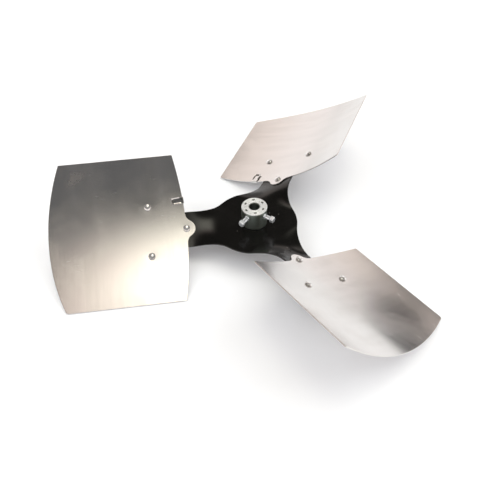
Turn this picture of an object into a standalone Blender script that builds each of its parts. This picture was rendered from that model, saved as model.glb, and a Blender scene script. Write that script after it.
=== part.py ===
"""Three-bladed propeller fan for a motor shaft, 20 in across.

Three rolled sheet blades are riveted to the arms of a flat pressed spider. A turned hub is swaged into
the middle of the spider and holds the shaft with two square-head set screws. Two small balance clips
grip the root edges of the blades.

Units are metres, with +Z up along the bore. The origin is on the bore's axis, in the plane of the
spider's top face. The fan lies as it rests on a table: on the low edges of its blades.

Each arm has coordinates of its own, before its turn about the bore: x runs outwards, y anticlockwise,
and the blade's raised side is the one with negative y.
"""

import math

import bmesh
import bpy
import numpy as np
from mathutils import Matrix

# Driving dimensions of the whole fan
INCH = 0.0254
GAP = 0.0003
TIP_RADIUS = 10 * INCH
ARM_COUNT = 3
FIRST_ARM_BEARING = math.pi
PITCH = math.radians(28.5)
ROLL_RADIUS = 12 * INCH

# Blades
SHEET = 0.050 * INCH
BLADE_WIDTH = 7.5 * INCH
TIP_EDGE_RADIUS = 0.245
ROOT_EDGE_RADIUS = 0.500
ROOT_EDGE_X = 0.085
RAISED_CORNER_RADIUS = 0.0015
LOW_TIP_CORNER_RADIUS = 0.004
TAB_RADIUS = 0.0108
TAB_FILLET_RADIUS = 0.012
BLADE_SLICES = 19

# Spider. The arm's neck stands a little towards the blade's low side.
PLATE = 0.075 * INCH
DISC_RADIUS = 0.054
NECK_WIDTH = 0.0456
NECK_SHIFT = 0.0013
WEB_RADIUS = 0.046
TWIST_START_X = 0.0354
TWIST_END_X = 0.081
PADDLE_NECK_X = 0.093
PADDLE_WIDTH = 0.082
PADDLE_END_X = 0.142
PADDLE_FILLET_RADIUS = 0.016
PADDLE_CORNER_RADIUS = 0.012
TWIST_SLICE = 0.0065

# Rivets, all of one size
RIVET_RADIUS = 3 / 32 * INCH
RIVET_HEAD_RADIUS = 0.00425
RIVET_HEAD_HEIGHT = 0.0026
RIVET_TAIL_RADIUS = 0.0038
RIVET_TAIL_HEIGHT = 0.0018
RIVET_TAIL_FLAT = 0.6
RIVET_TAIL_WAIST = 0.92
TAB_RIVET = (0.0851, 0.0)
OUTER_RIVETS = ((0.1308, -0.032), (0.1308, 0.032))

# Hub
HUB_RADIUS = 0.625 * INCH
HUB_HEIGHT = 0.0262
BORE_RADIUS = 0.25 * INCH
HUB_CHAMFER = 0.0005
BORE_CHAMFER = 0.0008
SPIGOT_RADIUS = 0.0110
SWAGE_RADIUS = 0.0135
SWAGE_HEIGHT = 0.0018
DIMPLE_COUNT = 6
DIMPLE_RADIUS = 0.0016
DIMPLE_DEPTH = 0.0006
DIMPLE_CIRCLE_RADIUS = 0.0119
FIRST_DIMPLE_BEARING = math.radians(27)

# Set screws
SCREW_BEARINGS = (math.radians(-43), math.radians(-133))
SCREW_Z = HUB_HEIGHT - 0.0082
SCREW_RADIUS = 0.125 * INCH
SCREW_TIP_R = BORE_RADIUS + 0.0005
SCREW_NECK_R = 0.0208
SCREW_HEAD_R = 0.0240
SCREW_END_R = 0.0288
SCREW_NECK_RADIUS = 0.0024
SCREW_HEAD_WIDTH = 0.25 * INCH
SCREW_HEAD_BEVEL = 0.0004
SCREW_CHAMFER = 0.0005

# Balance clips: the arm each one is on and its place along the root edge
CLIP_PLACES = ((1, -0.0368), (2, 0.0375))
CLIP_WIDTH = 0.0085
CLIP_LENGTH = 0.0138
CLIP_WALL = 0.0008

# Largest distance between a drawn arc and its chords, the sides of the turned pieces, the angle from which
# an edge is drawn sharp, and the distance at which points are one
ARC_TOLERANCE = 0.00012
HUB_SIDES = 48
DRILL_SIDES = 24
SCREW_SIDES = 20
RIVET_SIDES = 12
DOME_POINTS = 5
PUNCH_SEGMENTS = 12
PUNCH_RINGS = 8
SHARP_ANGLE = math.radians(30)
WELD = 1e-6


def clear_scene():
    for item in list(bpy.data.objects):
        bpy.data.objects.remove(item)


def new_collection(name):
    group = bpy.data.collections.new(name)
    bpy.context.scene.collection.children.link(group)
    return group


def new_material(name, colour, roughness, metallic):
    material = bpy.data.materials.new(name)
    material.use_nodes = True
    shader = material.node_tree.nodes["Principled BSDF"]
    shader.inputs["Base Color"].default_value = (*colour, 1)
    shader.inputs["Roughness"].default_value = roughness
    shader.inputs["Metallic"].default_value = metallic
    return material


def new_object(name, mesh, group, parent=None, place=None):
    """An object in a collection, placed in its parent's frame."""
    item = bpy.data.objects.new(name, mesh)
    group.objects.link(item)
    item.parent = parent
    if place is not None:
        item.matrix_basis = place
    return item


def applied(item, *tools):
    """The object's mesh with its modifiers applied. The object is removed, and so are its Boolean tools."""
    bpy.context.view_layer.update()
    graph = bpy.context.evaluated_depsgraph_get()
    mesh = bpy.data.meshes.new_from_object(item.evaluated_get(graph))
    for used in (item, *tools):
        bpy.data.objects.remove(used)
    return mesh


def finished(name, mesh, material):
    """Names a mesh and gives it its material and smooth shading with sharp edges."""
    mesh.name = name
    mesh.materials.clear()
    mesh.materials.append(material)
    mesh.shade_smooth()
    mesh.set_sharp_from_angle(angle=SHARP_ANGLE)
    return mesh


def bearing(start, end):
    return math.atan2(end[1] - start[1], end[0] - start[0])


def arc(centre, radius, start, end):
    """Points along a circle from one bearing to another, anticlockwise where the end is larger."""
    step = 2 * math.acos(1 - ARC_TOLERANCE / radius)
    count = max(2, math.ceil(abs(end - start) / step)) + 1
    angles = np.linspace(start, end, count)
    return np.column_stack([centre[0] + radius * np.cos(angles), centre[1] + radius * np.sin(angles)])


def circle(centre, radius):
    return arc(centre, radius, 0, 2 * math.pi)[:-1]


def mirrored(points):
    """The same stretch of outline on the other side of the arm, run the other way."""
    return points[::-1] * (1, -1)


def flat_plate(outlines, thickness, low):
    """A closed plate from height low upwards, as a bmesh.

    Its first outline is the edge, and the rest are holes.
    """
    curve = bpy.data.curves.new("outline", "CURVE")
    curve.dimensions = "2D"
    curve.fill_mode = "BOTH"
    curve.extrude = thickness / 2
    for points in outlines:
        spline = curve.splines.new("POLY")
        spline.points.add(len(points) - 1)
        rows = np.column_stack([points, np.zeros(len(points)), np.ones(len(points))])
        spline.points.foreach_set("co", rows.ravel())
        spline.use_cyclic_u = True
    mesh = applied(new_object("outline", curve, bpy.context.scene.collection))
    bpy.data.curves.remove(curve)
    plate = bmesh.new()
    plate.from_mesh(mesh)
    bpy.data.meshes.remove(mesh)
    bmesh.ops.remove_doubles(plate, verts=plate.verts[:], dist=WELD)
    bmesh.ops.recalc_face_normals(plate, faces=plate.faces[:])
    plate.transform(Matrix.Translation((0, 0, low + thickness / 2)))
    return plate


def new_mesh(name, shape):
    """A mesh from a bmesh, which is freed."""
    mesh = bpy.data.meshes.new(name)
    shape.to_mesh(mesh)
    shape.free()
    return mesh


def slice_plate(plate, normal, stations):
    """Cuts new edges across a plate, at right angles to the normal, so that it can bend at them."""
    for station in stations:
        everything = plate.verts[:] + plate.edges[:] + plate.faces[:]
        place = tuple(station * n for n in normal)
        bmesh.ops.bisect_plane(plate, geom=everything, dist=WELD, plane_co=place, plane_no=normal)


def bend_lines():
    """The places across the arm where sheet and spider bend together."""
    return np.linspace(-BLADE_WIDTH / 2, BLADE_WIDTH / 2, BLADE_SLICES + 1)[1:-1]


def rolled(points, share=1.0):
    """Bends flat points into the blades' roll: a cylinder along the arm, pitched about the arm's line.

    y is measured along the surface and z along its normal. The share, from 0 to 1, scales both the pitch
    and the curvature, so that a share growing along x is a twist.
    """
    x, along, height = np.asarray(points, float).T
    turned = share * along / ROLL_RADIUS
    slope = turned - share * PITCH
    chord = along * np.sinc(turned / 2 / math.pi)
    chord_slope = slope - turned / 2
    y = chord * np.cos(chord_slope) - height * np.sin(slope)
    z = chord * np.sin(chord_slope) + height * np.cos(slope)
    return np.column_stack([x, y, z])


def twist_share(x):
    """0 on the spider's flat disc, 1 where the arm carries its blade, with a smooth step between."""
    part = np.clip((x - TWIST_START_X) / (TWIST_END_X - TWIST_START_X), 0, 1)
    return part * part * (3 - 2 * part)


def bend(plate, share_at):
    """Moves the points of a sliced flat plate to the rolled surface, given the share at each x."""
    bmesh.ops.triangulate(plate, faces=plate.faces[:])
    points = np.array([v.co for v in plate.verts])
    for vertex, place in zip(plate.verts, rolled(points, share_at(points[:, 0]))):
        vertex.co = place


def seat(x, y, height, turn=0.0):
    """The frame of a fitting on the rolled sheet: Z is the surface's normal, X is turned from the arm."""
    place = rolled([(x, y, height)])[0]
    slope = y / ROLL_RADIUS - PITCH
    return Matrix.Translation(place) @ Matrix.Rotation(slope, 4, "X") @ Matrix.Rotation(turn, 4, "Z")


def rivet_holes():
    radius = RIVET_RADIUS + GAP
    return [circle(place, radius) for place in (TAB_RIVET, *OUTER_RIVETS)]


def edge_corner(edge_centre_x, edge_radius, towards, radius):
    """Centre of the arc that rounds a blade's corner, and its bearing off the arm from the edge's centre."""
    y = BLADE_WIDTH / 2 - radius
    reach = edge_radius - radius
    return (edge_centre_x + towards * math.sqrt(reach**2 - y**2), y), math.asin(y / reach)


def blade_outline():
    """Straight parallel sides, arcs for the tip and root edges, and a round tab in the middle of the root."""
    tip_centre_x = TIP_RADIUS - TIP_EDGE_RADIUS
    root_centre = (ROOT_EDGE_X + ROOT_EDGE_RADIUS, 0)
    low_tip, low_tip_bearing = edge_corner(tip_centre_x, TIP_EDGE_RADIUS, 1, LOW_TIP_CORNER_RADIUS)
    high_tip, high_tip_bearing = edge_corner(tip_centre_x, TIP_EDGE_RADIUS, 1, RAISED_CORNER_RADIUS)
    root, root_bearing = edge_corner(root_centre[0], ROOT_EDGE_RADIUS, -1, RAISED_CORNER_RADIUS)

    # The tab's fillet touches the root edge and the tab from outside.
    apart = root_centre[0] - TAB_RIVET[0]
    from_tab = TAB_RADIUS + TAB_FILLET_RADIUS
    from_root = ROOT_EDGE_RADIUS + TAB_FILLET_RADIUS
    offset = (apart**2 + from_tab**2 - from_root**2) / (2 * apart)
    fillet = (TAB_RIVET[0] + offset, math.sqrt(from_tab**2 - offset**2))
    fillet_start = bearing(fillet, root_centre)
    fillet_end = bearing(fillet, TAB_RIVET)

    root_corner = arc(root, RAISED_CORNER_RADIUS, math.pi / 2, math.pi - root_bearing)
    root_edge = arc(root_centre, ROOT_EDGE_RADIUS, math.pi - root_bearing, math.pi + fillet_start)
    tab_fillet = arc(fillet, TAB_FILLET_RADIUS, fillet_start, fillet_end)
    tab = arc(TAB_RIVET, TAB_RADIUS, fillet_end + math.pi, math.pi - fillet_end)
    root_half = np.concatenate([root_corner, root_edge[1:-1], tab_fillet])
    high_corner = mirrored(arc(high_tip, RAISED_CORNER_RADIUS, high_tip_bearing, math.pi / 2))
    low_corner = arc(low_tip, LOW_TIP_CORNER_RADIUS, low_tip_bearing, math.pi / 2)
    tip_edge = arc((tip_centre_x, 0), TIP_EDGE_RADIUS, -high_tip_bearing, low_tip_bearing)
    far_end = [high_corner, tip_edge[1:-1], low_corner]
    return np.concatenate([mirrored(root_half), *far_end, root_half, tab[1:-1]])


def blade_mesh():
    sheet = flat_plate([blade_outline(), *rivet_holes()], SHEET, GAP)
    slice_plate(sheet, (0, 1, 0), bend_lines())
    bend(sheet, np.ones_like)
    material = new_material("blade_aluminium", (0.72, 0.70, 0.68), 0.32, 1.0)
    return finished("blade", new_mesh("blade", sheet), material)


def arm_side(neck):
    """One side of an arm, from the middle of its end in to the disc's seam, given the neck's half width."""
    web_y = neck + WEB_RADIUS
    web = (math.sqrt((DISC_RADIUS + WEB_RADIUS) ** 2 - web_y**2), web_y)
    web_bearing = bearing((0, 0), web)

    # The arm widens under the blade in an S of two arcs.
    inner = (PADDLE_NECK_X, neck + PADDLE_FILLET_RADIUS)
    outer_y = PADDLE_WIDTH / 2 - PADDLE_CORNER_RADIUS
    reach = PADDLE_FILLET_RADIUS + PADDLE_CORNER_RADIUS
    outer = (PADDLE_NECK_X + math.sqrt(reach**2 - (inner[1] - outer_y) ** 2), outer_y)
    end = (PADDLE_END_X - PADDLE_CORNER_RADIUS, outer_y)
    sway = bearing(outer, inner)

    return np.concatenate([
        arc(end, PADDLE_CORNER_RADIUS, 0, math.pi / 2),
        arc(outer, PADDLE_CORNER_RADIUS, math.pi / 2, sway),
        arc(inner, PADDLE_FILLET_RADIUS, sway - math.pi, -math.pi / 2)[1:],
        arc(web, WEB_RADIUS, -math.pi / 2, web_bearing - math.pi),
        arc((0, 0), DISC_RADIUS, web_bearing, math.pi / ARM_COUNT)[1:],
    ])


def arm_outline():
    """One arm and its third of the disc, out to the seams with the next arms and in to the hub's hole."""
    seam = math.pi / ARM_COUNT
    low_side = arm_side(NECK_WIDTH / 2 + NECK_SHIFT)
    raised_side = mirrored(arm_side(NECK_WIDTH / 2 - NECK_SHIFT))
    hole = arc((0, 0), SPIGOT_RADIUS + GAP, seam, -seam)
    return np.concatenate([raised_side, low_side, hole])


def open_seams(plate):
    """Removes the walls of an arm at its two seams, where the next arms join it."""
    slope = math.tan(math.pi / ARM_COUNT)
    walls = []
    for face in plate.faces:
        if all(abs(abs(v.co.y) - slope * v.co.x) < WELD for v in face.verts):
            walls.append(face)
    bmesh.ops.delete(plate, geom=walls, context="FACES")


def spider_mesh():
    """A flat arm is sliced, twisted to the blades' pitch, and turned into three that meet at their seams."""
    plate = flat_plate([arm_outline(), *rivet_holes()], PLATE, -PLATE)
    open_seams(plate)
    twist_lines = round((TWIST_END_X - TWIST_START_X) / TWIST_SLICE) + 1
    slice_plate(plate, (1, 0, 0), np.linspace(TWIST_START_X, TWIST_END_X, twist_lines))
    slice_plate(plate, (0, 1, 0), [y for y in bend_lines() if abs(y) < PADDLE_WIDTH / 2])
    bend(plate, twist_share)

    arm = plate.verts[:] + plate.edges[:] + plate.faces[:]
    for i in range(1, ARM_COUNT):
        copy = bmesh.ops.duplicate(plate, geom=arm)["geom"]
        points = [item for item in copy if isinstance(item, bmesh.types.BMVert)]
        turn = Matrix.Rotation(i * 2 * math.pi / ARM_COUNT, 3, "Z")
        bmesh.ops.rotate(plate, verts=points, cent=(0, 0, 0), matrix=turn)
    bmesh.ops.remove_doubles(plate, verts=plate.verts[:], dist=2 * WELD)
    bmesh.ops.recalc_face_normals(plate, faces=plate.faces[:])
    plate.transform(Matrix.Rotation(FIRST_ARM_BEARING, 4, "Z"))
    material = new_material("spider_black_paint", (0.012, 0.012, 0.013), 0.28, 0.0)
    return finished("spider", new_mesh("spider", plate), material)


def turned(name, profile, steps, closed):
    """An object turned about Z from a profile of (radius, height) points that runs down its outer side."""
    mesh = bpy.data.meshes.new(name)
    points = [(radius, 0, height) for radius, height in profile]
    edges = [(i, i + 1) for i in range(len(points) - 1)]
    if closed:
        edges.append((len(points) - 1, 0))
    mesh.from_pydata(points, edges, [])
    item = new_object(name, mesh, bpy.context.scene.collection)
    screw = item.modifiers.new("turn", "SCREW")
    screw.steps = steps
    screw.render_steps = steps
    screw.use_merge_vertices = True
    screw.merge_threshold = WELD
    return item


def boolean(item, shape, operation):
    """Joins or cuts an object with a bmesh, and returns the hidden tool that holds the shape."""
    tool = new_object("tool", new_mesh("tool", shape), bpy.context.scene.collection)
    tool.hide_render = True
    tool.display_type = "WIRE"
    modifier = item.modifiers.new("boolean", "BOOLEAN")
    modifier.operation = operation
    modifier.object = tool
    return tool


def around(radius, angle, height):
    return Matrix.Rotation(angle, 4, "Z") @ Matrix.Translation((radius, 0, height))


def lying_outwards(radius, angle, height):
    """A frame at a radius from the bore whose Z points straight outwards."""
    return around(radius, angle, height) @ Matrix.Rotation(math.pi / 2, 4, "Y")


def hub_mesh():
    """Turned hub: a plain barrel on the spider, a spigot through it and a swaged rim below."""
    foot = -PLATE - GAP - SWAGE_HEIGHT
    profile = [
        (BORE_RADIUS + BORE_CHAMFER, HUB_HEIGHT),
        (HUB_RADIUS - HUB_CHAMFER, HUB_HEIGHT),
        (HUB_RADIUS, HUB_HEIGHT - HUB_CHAMFER),
        (HUB_RADIUS, GAP),
        (SPIGOT_RADIUS, GAP),
        (SPIGOT_RADIUS, -PLATE - GAP),
        (SWAGE_RADIUS, -PLATE - GAP),
        (SWAGE_RADIUS - HUB_CHAMFER, foot),
        (BORE_RADIUS + BORE_CHAMFER, foot),
        (BORE_RADIUS, foot + BORE_CHAMFER),
        (BORE_RADIUS, HUB_HEIGHT - BORE_CHAMFER),
    ]
    hub = turned("hub", profile, HUB_SIDES, closed=True)
    drill = bmesh.new()
    middle = (BORE_RADIUS + HUB_RADIUS) / 2
    for angle in SCREW_BEARINGS:
        place = lying_outwards(middle, angle, SCREW_Z)
        radius = SCREW_RADIUS + GAP
        bmesh.ops.create_cone(drill, cap_ends=True, segments=DRILL_SIDES, radius1=radius, radius2=radius,
                              depth=HUB_RADIUS, matrix=place)
    punch = bmesh.new()
    for i in range(DIMPLE_COUNT):
        angle = FIRST_DIMPLE_BEARING + i * 2 * math.pi / DIMPLE_COUNT
        place = around(DIMPLE_CIRCLE_RADIUS, angle, HUB_HEIGHT + DIMPLE_RADIUS - DIMPLE_DEPTH)
        bmesh.ops.create_uvsphere(punch, u_segments=PUNCH_SEGMENTS, v_segments=PUNCH_RINGS,
                                  radius=DIMPLE_RADIUS, matrix=place)
    tools = [boolean(hub, shape, "DIFFERENCE") for shape in (drill, punch)]
    material = new_material("hub_zinc", (0.55, 0.56, 0.54), 0.35, 1.0)
    return finished("hub", applied(hub, *tools), material)


def screw_mesh():
    """Square-head set screw along Z, from its cup end at 0: shank, relief neck and bevelled head."""
    neck = SCREW_NECK_R - SCREW_TIP_R
    head = SCREW_HEAD_R - SCREW_TIP_R
    end = SCREW_END_R - SCREW_TIP_R
    profile = [
        (0, (head + end) / 2),
        (SCREW_NECK_RADIUS, (head + end) / 2),
        (SCREW_NECK_RADIUS, neck),
        (SCREW_RADIUS - SCREW_CHAMFER, neck),
        (SCREW_RADIUS, neck - SCREW_CHAMFER),
        (SCREW_RADIUS, SCREW_CHAMFER),
        (SCREW_RADIUS - SCREW_CHAMFER, 0),
        (0, 0),
    ]
    shank = turned("shank", profile, SCREW_SIDES, closed=False)
    block = bmesh.new()
    stretch = Matrix.Diagonal((SCREW_HEAD_WIDTH, SCREW_HEAD_WIDTH, end - head, 1))
    place = Matrix.Translation((0, 0, (head + end) / 2)) @ stretch
    bmesh.ops.create_cube(block, size=1, matrix=place)
    bmesh.ops.bevel(block, geom=block.edges[:], offset=SCREW_HEAD_BEVEL, segments=1, affect="EDGES")
    mesh = applied(shank, boolean(shank, block, "UNION"))
    return finished("set_screw", mesh, new_material("screw_zinc", (0.75, 0.75, 0.76), 0.22, 1.0))


def rivet_mesh():
    """Round-head rivet along Z: its dome lies on the blade and its upset tail under the spider's arm."""
    top = 2 * GAP + SHEET
    bottom = -PLATE - GAP
    dome = (RIVET_HEAD_RADIUS**2 + RIVET_HEAD_HEIGHT**2) / (2 * RIVET_HEAD_HEIGHT)
    centre = top + RIVET_HEAD_HEIGHT - dome
    rim = math.asin((dome - RIVET_HEAD_HEIGHT) / dome)
    angles = np.linspace(math.pi / 2, rim, DOME_POINTS)
    profile = [(dome * math.cos(a), centre + dome * math.sin(a)) for a in angles]
    profile[0] = (0, top + RIVET_HEAD_HEIGHT)
    profile += [
        (RIVET_RADIUS, top),
        (RIVET_RADIUS, bottom),
        (RIVET_TAIL_RADIUS, bottom),
        (RIVET_TAIL_RADIUS * RIVET_TAIL_WAIST, bottom - RIVET_TAIL_HEIGHT * RIVET_TAIL_FLAT),
        (RIVET_TAIL_RADIUS * RIVET_TAIL_FLAT, bottom - RIVET_TAIL_HEIGHT),
        (0, bottom - RIVET_TAIL_HEIGHT),
    ]
    mesh = applied(turned("rivet", profile, RIVET_SIDES, closed=False))
    return finished("rivet", mesh, new_material("rivet_steel", (0.62, 0.62, 0.62), 0.3, 1.0))


def clip_mesh():
    """Spring clip of folded strip: a U in the XZ plane, whose legs run along +X over and under the sheet."""
    inside = SHEET / 2 + GAP
    outside = inside + CLIP_WALL
    back_x = -GAP - CLIP_WALL
    leg_x = back_x + CLIP_LENGTH
    upper_bend = arc((-GAP, inside), CLIP_WALL, math.pi / 2, math.pi)
    upper = np.concatenate([[(leg_x, inside), (leg_x, outside)], upper_bend])
    slot = [(-GAP, -inside), (-GAP, inside)]
    outline = np.concatenate([upper, mirrored(upper), slot])
    strip = flat_plate([outline], CLIP_WIDTH, -CLIP_WIDTH / 2)
    strip.transform(Matrix.Rotation(math.pi / 2, 4, "X"))
    material = new_material("clip_steel", (0.18, 0.18, 0.19), 0.35, 1.0)
    return finished("balance_clip", new_mesh("balance_clip", strip), material)


def build():
    clear_scene()
    fan = new_collection("fan_blade")
    new_object("spider", spider_mesh(), fan)
    new_object("hub", hub_mesh(), fan)
    set_screw = screw_mesh()
    for i, angle in enumerate(SCREW_BEARINGS, 1):
        new_object(f"set_screw_{i}", set_screw, fan, place=lying_outwards(SCREW_TIP_R, angle, SCREW_Z))

    blade = blade_mesh()
    rivet = rivet_mesh()
    rivet_names = ("tab", "raised", "low")
    arms = []
    for i in range(ARM_COUNT):
        turn = FIRST_ARM_BEARING - i * 2 * math.pi / ARM_COUNT
        arm = new_object(f"arm_{i + 1}", None, fan, place=Matrix.Rotation(turn, 4, "Z"))
        new_object(f"blade_{i + 1}", blade, fan, arm)
        for name, (x, y) in zip(rivet_names, (TAB_RIVET, *OUTER_RIVETS)):
            new_object(f"rivet_{i + 1}_{name}", rivet, fan, arm, seat(x, y, 0))
        arms.append(arm)

    clip = clip_mesh()
    for i, (arm_number, y) in enumerate(CLIP_PLACES, 1):
        lean = math.asin(y / ROOT_EDGE_RADIUS)
        x = ROOT_EDGE_X + ROOT_EDGE_RADIUS * (1 - math.cos(lean))
        place = seat(x, y, GAP + SHEET / 2, -lean)
        new_object(f"balance_clip_{i}", clip, fan, arms[arm_number - 1], place)


build()
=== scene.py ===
import math

import bmesh
import bpy
import numpy as np
from mathutils import Matrix, Vector


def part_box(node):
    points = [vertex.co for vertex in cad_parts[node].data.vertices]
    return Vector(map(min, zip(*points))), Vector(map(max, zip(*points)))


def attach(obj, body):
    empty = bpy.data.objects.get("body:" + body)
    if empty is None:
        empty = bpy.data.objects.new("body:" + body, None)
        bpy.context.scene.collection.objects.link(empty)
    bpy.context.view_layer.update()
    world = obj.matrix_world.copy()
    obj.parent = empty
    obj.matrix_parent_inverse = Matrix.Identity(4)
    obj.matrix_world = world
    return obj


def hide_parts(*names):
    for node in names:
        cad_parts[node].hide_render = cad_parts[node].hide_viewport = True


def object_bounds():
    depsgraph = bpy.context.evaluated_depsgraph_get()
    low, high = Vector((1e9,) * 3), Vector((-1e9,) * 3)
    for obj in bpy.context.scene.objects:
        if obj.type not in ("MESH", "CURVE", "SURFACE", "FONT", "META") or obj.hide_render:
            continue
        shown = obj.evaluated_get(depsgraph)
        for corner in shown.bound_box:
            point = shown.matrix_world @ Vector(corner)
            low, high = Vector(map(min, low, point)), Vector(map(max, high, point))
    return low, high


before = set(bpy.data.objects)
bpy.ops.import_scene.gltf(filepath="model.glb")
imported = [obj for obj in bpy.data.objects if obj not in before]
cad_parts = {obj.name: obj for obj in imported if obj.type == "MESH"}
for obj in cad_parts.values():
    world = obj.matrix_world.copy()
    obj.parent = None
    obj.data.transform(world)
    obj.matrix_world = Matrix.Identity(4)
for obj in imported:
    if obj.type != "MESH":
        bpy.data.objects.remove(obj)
cad_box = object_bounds()

# The spider. One blank of 1.9 mm steel plate with a round middle and three arms. The press twists each arm
# to the blades' pitch and rolls its end to their curve, so that a blade lies flat on it. The edges are
# rounded by the die, and the whole is dipped in gloss black enamel.
INCH = 0.0254
GAP = 0.0003
ARM_COUNT = 3
ARM_BEARINGS = [math.pi - i * 2 * math.pi / ARM_COUNT for i in range(ARM_COUNT)]
PITCH = math.radians(28.5)
ROLL_RADIUS = 12 * INCH
PLATE = 0.075 * INCH
PLATE_EDGE_RADIUS = 0.0004
HOLE_RADIUS = 0.0113
DISC_RADIUS = 0.054
NECK_WIDTH = 0.0456
NECK_SHIFT = 0.0013
WEB_RADIUS = 0.046
TWIST_START_X = 0.0354
TWIST_END_X = 0.081
PADDLE_NECK_X = 0.093
PADDLE_WIDTH = 0.082
PADDLE_END_X = 0.142
PADDLE_FILLET_RADIUS = 0.016
PADDLE_CORNER_RADIUS = 0.012
EDGE_STEPS = 3
WEB_STEPS = 40
NECK_STEPS = 13
PADDLE_FILLET_STEPS = 12
PADDLE_CORNER_STEPS = 14
DISC_EDGE_STEPS = 8
ARM_COLUMNS = 40
DISC_RINGS = 24
WELD = 1e-6


def arc(centre, radius, start, end, steps, side=1):
    """Part of an outline: points on a circle, each a row of its centre, the radius, its bearing and the side.

    The side is 1 where the material is inside the circle and -1 where it is outside.
    """
    rows = np.empty((steps + 1, 5))
    rows[:, :2] = centre
    rows[:, 2] = radius
    rows[:, 3] = np.linspace(start, end, steps + 1)
    rows[:, 4] = side
    return rows


def inset(outline, depth):
    """The outline moved inwards: each centre plus the radius, less side times depth, along the bearing."""
    reach = outline[:, 2] - outline[:, 4] * depth
    return outline[:, :2] + reach[:, None] * np.column_stack([np.cos(outline[:, 3]), np.sin(outline[:, 3])])


def mirrored(outline):
    """The same stretch of outline on the other side of the arm, run the other way."""
    return outline[::-1] * (1, -1, 1, -1, 1)


def rounded_edge(thickness, radius):
    """Depth inwards and height of a sheet's edge: a quarter circle, a flat and a quarter circle."""
    angles = np.linspace(math.pi / 2, 0, EDGE_STEPS + 1)
    depth = radius * (1 - np.cos(angles))
    height = radius * (1 - np.sin(angles))
    return np.concatenate([depth, depth[::-1]]), np.concatenate([height, thickness - height[::-1]])


def rolled(x, along, height, share=1.0):
    """Places on a sheet that is rolled to a cylinder parallel to the arm and pitched about the arm's line.

    The surface's slope is the distance along it over the roll's radius, less the pitch, both times the share.
    The chord from the arm's line has the mean of the slopes at its ends. Its length is the distance times the
    sine of half its turn over half its turn, and the height is added along the normal.
    """
    turned = share * along / ROLL_RADIUS
    slope = turned - share * PITCH
    chord = along * np.sinc(turned / 2 / math.pi)
    chord_slope = slope - turned / 2
    y = chord * np.cos(chord_slope) - height * np.sin(slope)
    z = chord * np.sin(chord_slope) + height * np.cos(slope)
    return np.stack(np.broadcast_arrays(x, y, z), -1)


def about_bore(points, angle):
    """Places turned anticlockwise about the bore's axis."""
    turn = np.array(Matrix.Rotation(angle, 3, "Z"))
    return points @ turn.T


def welded(name, grids, flat=None):
    """A closed mesh from grids of points whose borders meet: each cell is a face, and like points are one.

    flat holds two coordinates for each point of each grid, and becomes the mesh's UV map.
    """
    points = np.concatenate([grid.reshape(-1, 3) for grid in grids])
    faces = []
    first = 0
    for grid in grids:
        rows, columns = grid.shape[:2]
        number = first + np.arange(rows * columns).reshape(rows, columns)
        corners = [number[:-1, :-1], number[1:, :-1], number[1:, 1:], number[:-1, 1:]]
        faces.append(np.stack(corners, -1).reshape(-1, 4))
        first += rows * columns
    faces = np.concatenate(faces)
    mesh = bpy.data.meshes.new(name)
    mesh.from_pydata(points.tolist(), [], faces.tolist())
    if flat is not None:
        places = np.concatenate([part.reshape(-1, 2) for part in flat])
        mesh.uv_layers.new(name="flat").data.foreach_set("uv", places[faces.ravel()].ravel())
    shape = bmesh.new()
    shape.from_mesh(mesh)
    bmesh.ops.remove_doubles(shape, verts=shape.verts, dist=WELD)
    bmesh.ops.recalc_face_normals(shape, faces=shape.faces)
    shape.to_mesh(mesh)
    shape.free()
    mesh.shade_smooth()
    return mesh


def fitted(mesh, material, frame_node):
    """A finished piece that stands for a node of the frame. Its large faces set the normals of its edges."""
    piece = bpy.data.objects.new(mesh.name, mesh)
    bpy.context.scene.collection.objects.link(piece)
    mesh.materials.append(material)
    piece.modifiers.new("normals", "WEIGHTED_NORMAL").weight = 100
    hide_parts(frame_node)
    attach(piece, "root")


def arm_edge(neck):
    """The arm's outline on one side, from the disc to the corner of its end, for a half width of the neck."""
    web_y = neck + WEB_RADIUS
    web = (math.sqrt((DISC_RADIUS + WEB_RADIUS) ** 2 - web_y**2), web_y)
    inner = (PADDLE_NECK_X, neck + PADDLE_FILLET_RADIUS)
    outer_y = PADDLE_WIDTH / 2 - PADDLE_CORNER_RADIUS
    reach = PADDLE_FILLET_RADIUS + PADDLE_CORNER_RADIUS
    outer = (PADDLE_NECK_X + math.sqrt(reach**2 - (inner[1] - outer_y) ** 2), outer_y)
    end = (PADDLE_END_X - PADDLE_CORNER_RADIUS, outer_y)
    places = np.linspace(web[0], PADDLE_NECK_X, NECK_STEPS + 1)[1:-1]
    straight = np.array([(x, neck, 0, -math.pi / 2, -1) for x in places])
    sway = math.atan2(inner[1] - outer[1], inner[0] - outer[0])
    web_bearing = math.atan2(web_y, web[0])
    edge = np.concatenate([
        arc(web, WEB_RADIUS, web_bearing - math.pi, -math.pi / 2, WEB_STEPS, side=-1),
        straight,
        arc(inner, PADDLE_FILLET_RADIUS, -math.pi / 2, sway - math.pi, PADDLE_FILLET_STEPS, side=-1),
        arc(outer, PADDLE_CORNER_RADIUS, sway, math.pi / 2, PADDLE_CORNER_STEPS),
        arc(end, PADDLE_CORNER_RADIUS, math.pi / 2, 0, PADDLE_CORNER_STEPS),
    ])
    return edge, web_bearing


def twisted(flat, height):
    """Flat places on an arm bent as pressed: the share of pitch and roll grows along it on a smooth step."""
    part = np.clip((flat[..., 0] - TWIST_START_X) / (TWIST_END_X - TWIST_START_X), 0, 1)
    return rolled(flat[..., 0], flat[..., 1], height, part * part * (3 - 2 * part))


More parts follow.
